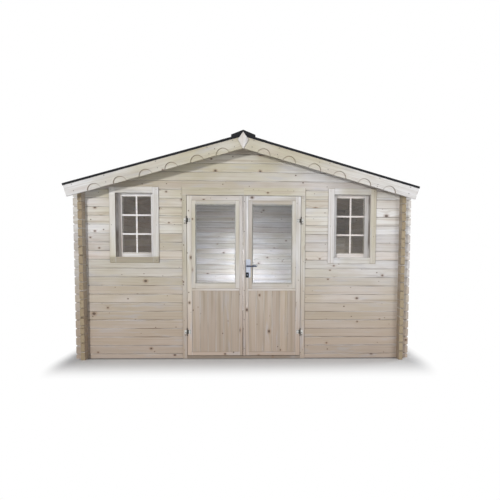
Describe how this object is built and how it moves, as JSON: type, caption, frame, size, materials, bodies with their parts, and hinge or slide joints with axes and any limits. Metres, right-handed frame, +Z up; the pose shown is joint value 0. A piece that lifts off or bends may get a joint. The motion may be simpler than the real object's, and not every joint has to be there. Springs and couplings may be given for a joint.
{
  "type": "garden shed",
  "caption": "Garden shed of interlocking pale logs with a shallow felted gable roof, scalloped bargeboards, half-glazed double doors that open outwards and a barred window on each side",
  "frame": {"origin": "on the ground under the middle of the roof", "axes": "+X across the front to its right, +Y from the front to the back, +Z up"},
  "size_m": [3.8858, 3.516, 2.562],
  "materials": {
    "log_timber": "planed softwood, pale and knotty",
    "joinery_timber": "planed softwood, pale",
    "barge_timber": "planed softwood, very pale",
    "rough_timber": "planed roof and floor timber",
    "roofing_felt": "black mineral felt",
    "clear_glass": "clear float glass",
    "hinge_steel": "zinc plated steel",
    "handle_chrome": "polished chrome plate",
    "lock_steel": "dark lock body"
  },
  "bodies": {
    "shed": {"back_wall": "log_timber", "bargeboard_back_left": "barge_timber", "bargeboard_back_right": "barge_timber", "bargeboard_front_left": "barge_timber", "bargeboard_front_right": "barge_timber", "door_casing": "joinery_timber", "door_frame": "joinery_timber", "door_hinges": "hinge_steel", "door_threshold": "joinery_timber", "finials": "barge_timber", "floor_boards": "rough_timber", "floor_joists": "rough_timber", "front_gable": "log_timber", "front_wall_left": "log_timber", "front_wall_right": "log_timber", "left_wall": "log_timber", "ridge_cap": "roofing_felt", "ridge_purlin": "rough_timber", "right_wall": "log_timber", "roof_boards_left": "rough_timber", "roof_boards_right": "rough_timber", "roof_felt_left": "roofing_felt", "roof_felt_right": "roofing_felt", "side_purlins": "rough_timber", "window_casing_left": "joinery_timber", "window_casing_right": "joinery_timber", "window_frame_left": "joinery_timber", "window_frame_right": "joinery_timber", "window_glass_left": "clear_glass", "window_glass_right": "clear_glass", "window_sash_left": "joinery_timber", "window_sash_right": "joinery_timber"},
    "left_door": {"left_door_frame": "joinery_timber", "left_door_glass": "clear_glass", "left_door_glazing_frame": "joinery_timber", "left_door_hinges": "hinge_steel", "left_door_panel": "joinery_timber"},
    "right_door": {"right_door_frame": "joinery_timber", "right_door_glass": "clear_glass", "right_door_glazing_frame": "joinery_timber", "right_door_hinges": "hinge_steel", "right_door_panel": "joinery_timber", "meeting_strip": "joinery_timber", "door_handle": "handle_chrome", "lock_cylinder": "lock_steel"}
  },
  "joints": [
    {"name": "left_door_hinge", "type": "hinge", "parent": "shed", "child": "left_door", "pos_m": [-0.6545, -1.5375, 0.9], "axis": [0, 0, -1], "range_deg": [0, 110]},
    {"name": "right_door_hinge", "type": "hinge", "parent": "shed", "child": "right_door", "pos_m": [0.6545, -1.5375, 0.9], "axis": [0, 0, 1], "range_deg": [0, 110]}
  ]
}
